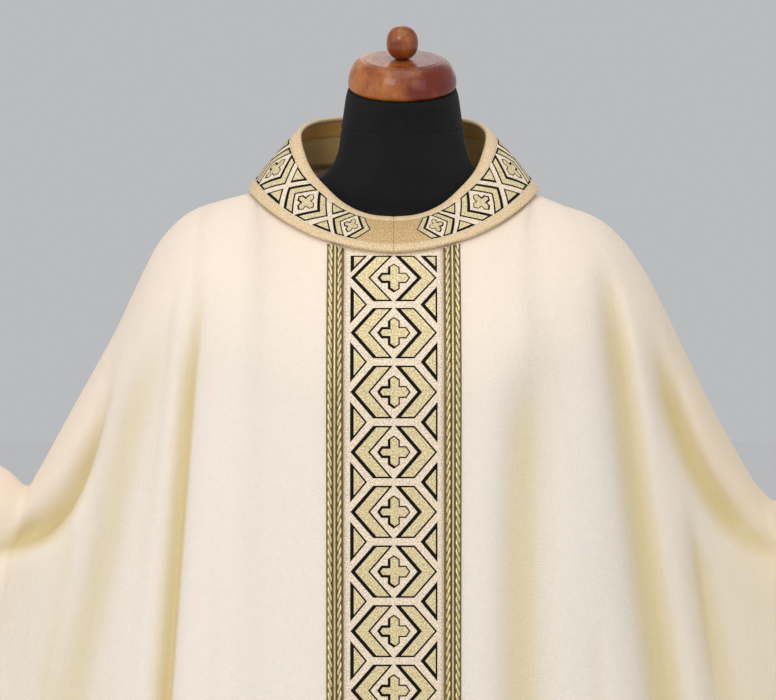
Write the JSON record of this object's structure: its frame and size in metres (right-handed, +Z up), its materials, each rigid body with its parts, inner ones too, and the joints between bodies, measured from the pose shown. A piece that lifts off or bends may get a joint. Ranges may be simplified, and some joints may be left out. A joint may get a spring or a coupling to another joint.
{
  "type": "monastic chasuble on a limbless dress form with a stand",
  "caption": "Wide cream wool chasuble with gold patterned orphrey and collar, worn on a limbless black dress form with a wooden neck cap and a round base.",
  "frame": {"origin": "on the floor, under the middle of the part's width and depth", "axes": "+Z up, -Y is the garment's front, +X is to the right of someone who looks at the front"},
  "size_m": [1.3118, 0.43, 1.6475],
  "materials": {
    "wool": "matt cream wool with a fine plain weave",
    "patterned_band": "woven cream and gold band with black outlines",
    "gold_braid": "corded metallic gold braid with black edges",
    "gold_cloth": "satin gold cloth",
    "collar_lining": "plain gold lining",
    "black_jersey": "matt black knitted jersey",
    "polished_wood": "polished reddish-brown wood",
    "black_steel": "satin black paint"
  },
  "bodies": {
    "root": {"front_panel": "wool", "back_panel": "wool", "orphrey_band": "patterned_band", "braid_left": "gold_braid", "braid_right": "gold_braid", "collar_left": "gold_cloth", "collar_right": "gold_cloth", "collar_lining_left": "collar_lining", "collar_lining_right": "collar_lining", "collar_band_left": "patterned_band", "collar_band_right": "patterned_band", "form_torso": "black_jersey", "neck_cap": "polished_wood", "neck_knob": "polished_wood", "hip_plate": "polished_wood", "stand_pole": "black_steel", "stand_base": "polished_wood"}
  },
  "joints": []
}
